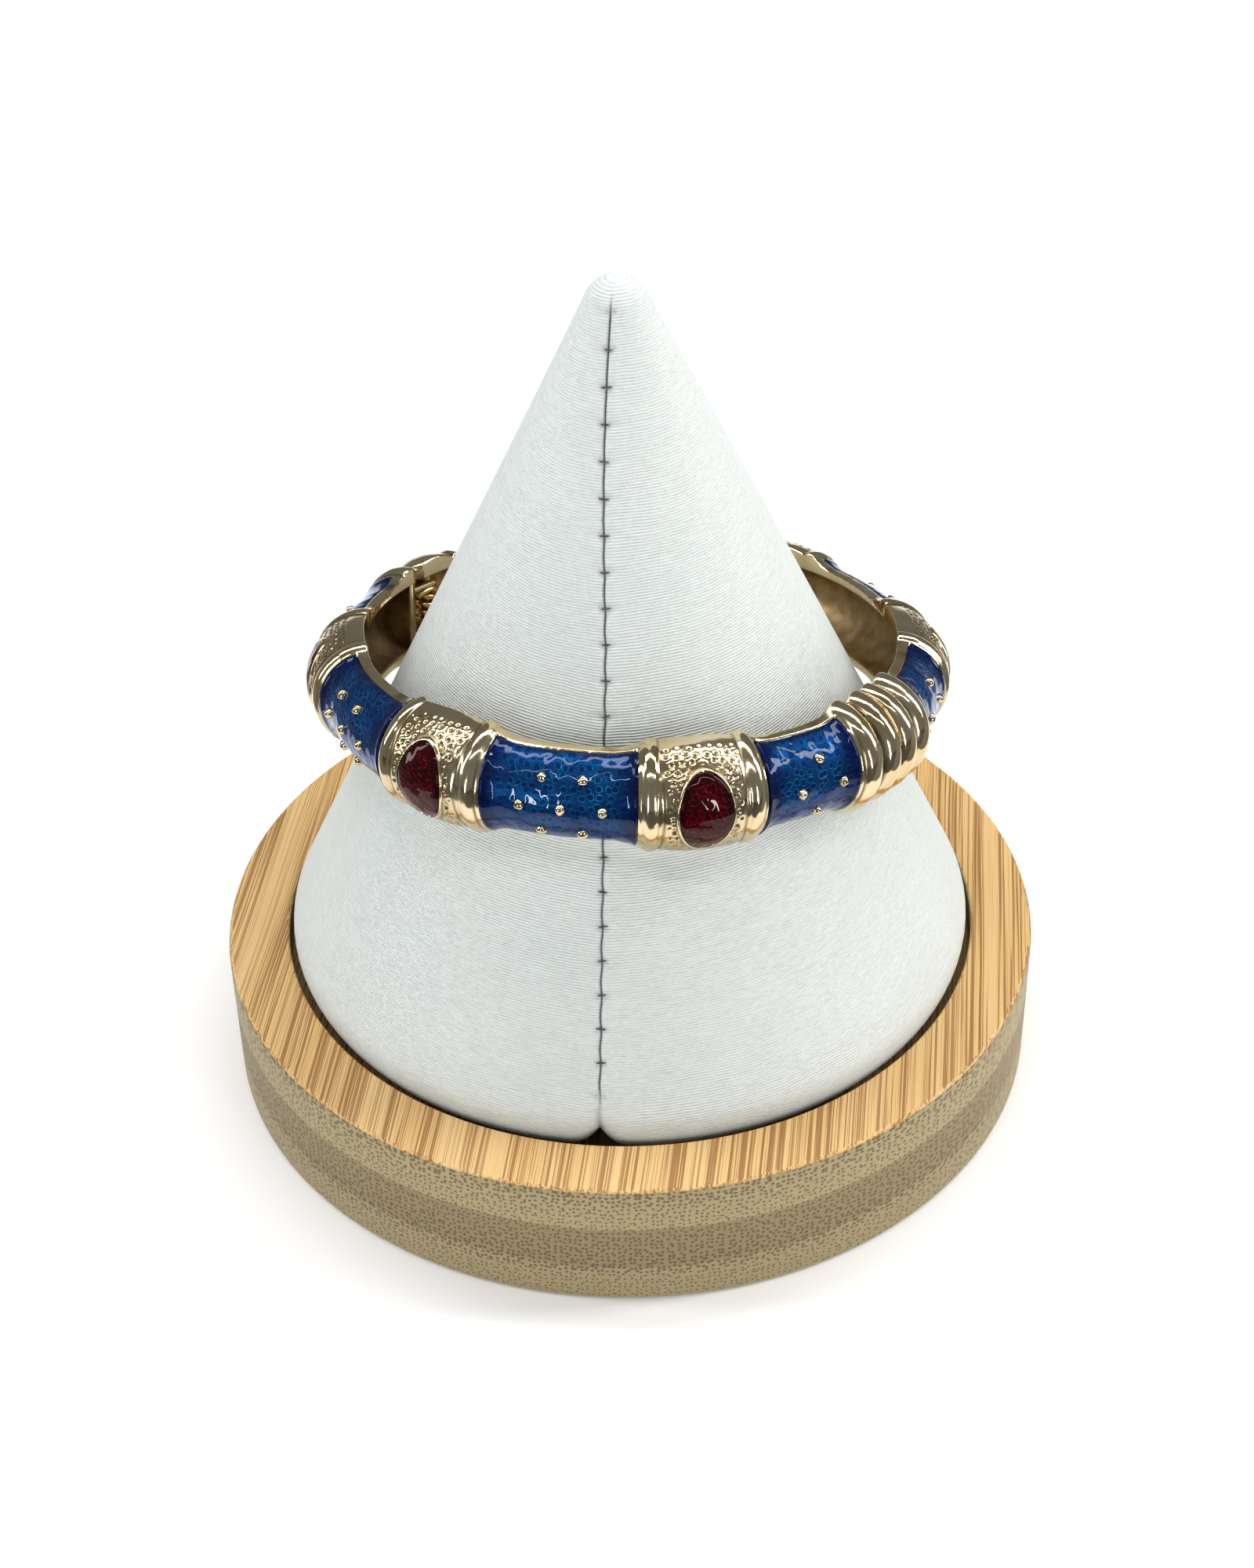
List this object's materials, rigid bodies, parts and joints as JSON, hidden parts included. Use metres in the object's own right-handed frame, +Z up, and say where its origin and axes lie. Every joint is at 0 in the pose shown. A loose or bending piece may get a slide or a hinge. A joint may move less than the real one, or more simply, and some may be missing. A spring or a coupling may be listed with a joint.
{
  "type": "hinged bangle on cone display stand",
  "caption": "Spring-hinged bangle of gilt cast metal with blue enamel panels and red enamel ovals, resting closed on a covered display cone in a round bamboo base.",
  "frame": {"origin": "centre of the bamboo base's underside, on the ground", "axes": "+Z up along the cone, +X to the right and -Y towards the viewer of the bangle's front"},
  "size_m": [0.0924, 0.0924, 0.0959],
  "materials": {
    "bamboo": "oiled bamboo, visible straight grain",
    "cone_cover": "matt white covering with a fine ribbed weave",
    "gilt_metal": "polished gilt plating",
    "hinge_metal": "satin gilt",
    "blue_enamel": "glossy translucent enamel",
    "red_enamel": "glossy translucent enamel"
  },
  "bodies": {
    "front_half_and_stand": {"bamboo_base": "bamboo", "display_cone": "cone_cover", "front_shell": "gilt_metal", "hinge_pin": "hinge_metal", "hinge_spring": "hinge_metal", "blue_enamel_1": "blue_enamel", "blue_enamel_2": "blue_enamel", "blue_enamel_3": "blue_enamel", "blue_enamel_4": "blue_enamel", "red_oval_1": "red_enamel", "red_oval_2": "red_enamel", "red_oval_3": "red_enamel"},
    "back_half": {"back_shell": "gilt_metal", "blue_enamel_5": "blue_enamel", "blue_enamel_6": "blue_enamel", "blue_enamel_7": "blue_enamel", "blue_enamel_8": "blue_enamel", "red_oval_4": "red_enamel", "red_oval_5": "red_enamel", "red_oval_6": "red_enamel"}
  },
  "joints": [
    {"name": "hinge", "type": "hinge", "parent": "front_half_and_stand", "child": "back_half", "pos_m": [-0.02302, 0.02273, 0.04329], "axis": [0.0309, 0.1814, 0.9829], "range_deg": [0, 38], "stiffness_Nm_per_rad": 0.03, "springref_deg": -28.65}
  ]
}
